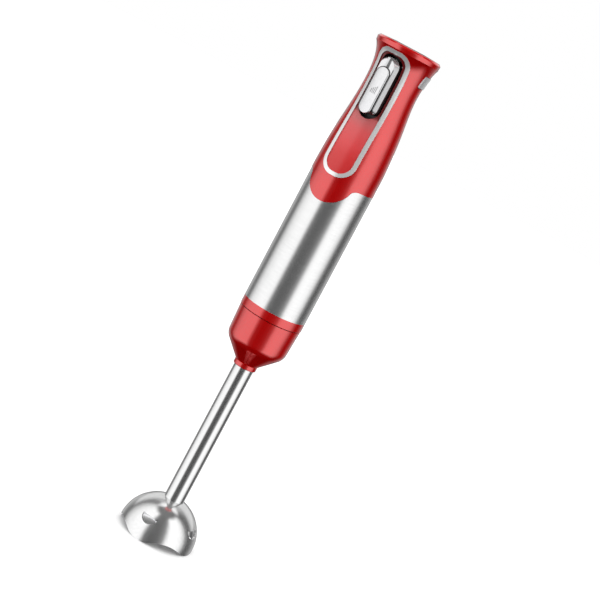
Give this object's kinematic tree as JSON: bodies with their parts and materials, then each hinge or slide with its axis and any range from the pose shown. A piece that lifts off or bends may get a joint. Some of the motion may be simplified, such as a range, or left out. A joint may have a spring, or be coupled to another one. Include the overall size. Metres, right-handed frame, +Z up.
{
  "type": "immersion blender",
  "caption": "Stick immersion blender: flared handle with a squeeze trigger and side button, steel sleeve, bayonet blending shaft and a vented bell over a spinning blade.",
  "frame": {"origin": "on the blade shaft's axis, at the height of the bell's four feet", "axes": "+Z up the shaft towards the handle; the trigger faces -Y; the side button faces +X"},
  "size_m": [0.0648, 0.0648, 0.4376],
  "materials": {
    "polished_steel": "polished",
    "brushed_stem": "satin",
    "brushed_steel": "satin",
    "machined_steel": "satin",
    "blade_steel": "polished",
    "red_plastic": "gloss",
    "red_inlay": "gloss",
    "black_plastic": "matte",
    "silver_trim": "satin",
    "chrome_trigger": "polished",
    "silver_button": "satin",
    "rubber": "matte",
    "bronze": "satin",
    "nylon": "matte",
    "cast_aluminium": "satin",
    "laminated_steel": "satin",
    "copper_wire": "satin",
    "commutator_copper": "satin",
    "brass": "satin",
    "carbon": "matte",
    "board_green": "satin",
    "capacitor_yellow": "satin",
    "component_black": "matte",
    "lead_blue": "satin"
  },
  "bodies": {
    "blending_shaft": {"bell_guard": "polished_steel", "stem_tube": "brushed_stem", "neck_ring": "red_plastic", "adapter_cup": "red_plastic", "bayonet_ring": "black_plastic", "lower_bushing": "bronze", "middle_bushing": "bronze", "upper_bushing": "bronze", "shaft_seal": "rubber"},
    "blade_assembly": {"drive_shaft": "machined_steel", "blade": "blade_steel", "blade_hub": "black_plastic", "blade_nut": "machined_steel", "retaining_ring": "machined_steel", "shaft_coupling": "nylon"},
    "spigot_seal": {"nose_o_ring": "rubber"},
    "motor_unit": {"motor_nose": "black_plastic", "collar_ring": "red_plastic", "motor_housing": "black_plastic", "steel_sleeve": "brushed_steel", "handle_shell": "red_plastic", "top_cap": "red_plastic", "trim_ring": "silver_trim", "front_inlay": "red_inlay", "trigger_well": "black_plastic", "pivot_pin": "machined_steel", "trigger_spring": "machined_steel", "side_button_spring": "machined_steel", "lower_bracket": "cast_aluminium", "lower_bearing": "machined_steel", "upper_bracket": "cast_aluminium", "upper_bearing": "machined_steel", "stator_core": "laminated_steel", "field_coils": "copper_wire", "lower_rubber_mount": "rubber", "upper_rubber_mount": "rubber", "motor_cap": "black_plastic", "bracket_screws": "machined_steel", "brush_holders": "brass", "carbon_brushes": "carbon", "brush_springs": "machined_steel", "circuit_board": "board_green", "board_screws": "machined_steel", "suppressor_capacitor": "capacitor_yellow", "board_components": "component_black", "speed_switch": "component_black", "motor_leads": "lead_blue"},
    "rotor": {"rotor_shaft": "machined_steel", "armature_core": "laminated_steel", "armature_winding": "copper_wire", "commutator": "commutator_copper", "cooling_fan": "black_plastic", "drive_coupling": "nylon"},
    "trigger": {"trigger_carrier": "black_plastic", "trigger_cover": "chrome_trigger", "trigger_pad": "chrome_trigger"},
    "side_button": {"side_button": "silver_button"},
    "plunger": {"switch_plunger": "nylon"}
  },
  "joints": [
    {"name": "blade_spin", "type": "hinge", "parent": "blending_shaft", "child": "blade_assembly", "pos_m": [0, 0, 0], "axis": [0, 0, 1], "continuous": true},
    {"name": "lift_off", "type": "slide", "parent": "blending_shaft", "child": "spigot_seal", "axis": [0, 0, 1], "range_m": [0, 0.06]},
    {"name": "twist_lock", "type": "hinge", "parent": "spigot_seal", "child": "motor_unit", "pos_m": [0, 0, 0.2], "axis": [0, 0, 1], "range_deg": [0, 25]},
    {"name": "rotor_spin", "type": "hinge", "parent": "motor_unit", "child": "rotor", "pos_m": [0, 0, 0.25], "axis": [0, 0, 1], "continuous": true},
    {"name": "trigger_squeeze", "type": "hinge", "parent": "motor_unit", "child": "trigger", "pos_m": [0, -0.0186, 0.4215], "axis": [1, 0, 0], "range_deg": [0, 4.5], "stiffness_Nm_per_rad": 1.2, "springref_deg": -6.88, "deforming": ["trigger_spring"]},
    {"name": "side_button_press", "type": "slide", "parent": "motor_unit", "child": "side_button", "axis": [-1, 0, 0], "range_m": [0, 0.0015], "stiffness_N_per_m": 400, "springref_m": -0.003, "deforming": ["side_button_spring"]},
    {"name": "plunger_slide", "type": "slide", "parent": "motor_unit", "child": "plunger", "axis": [0, 1, 0], "range_m": [0, 0.0025]}
  ],
  "couplings": [
    {"joint": "blade_spin", "follows": "rotor_spin", "ratio": 1},
    {"joint": "plunger_slide", "follows": "trigger_squeeze", "m_per_rad": 0.0305}
  ]
}
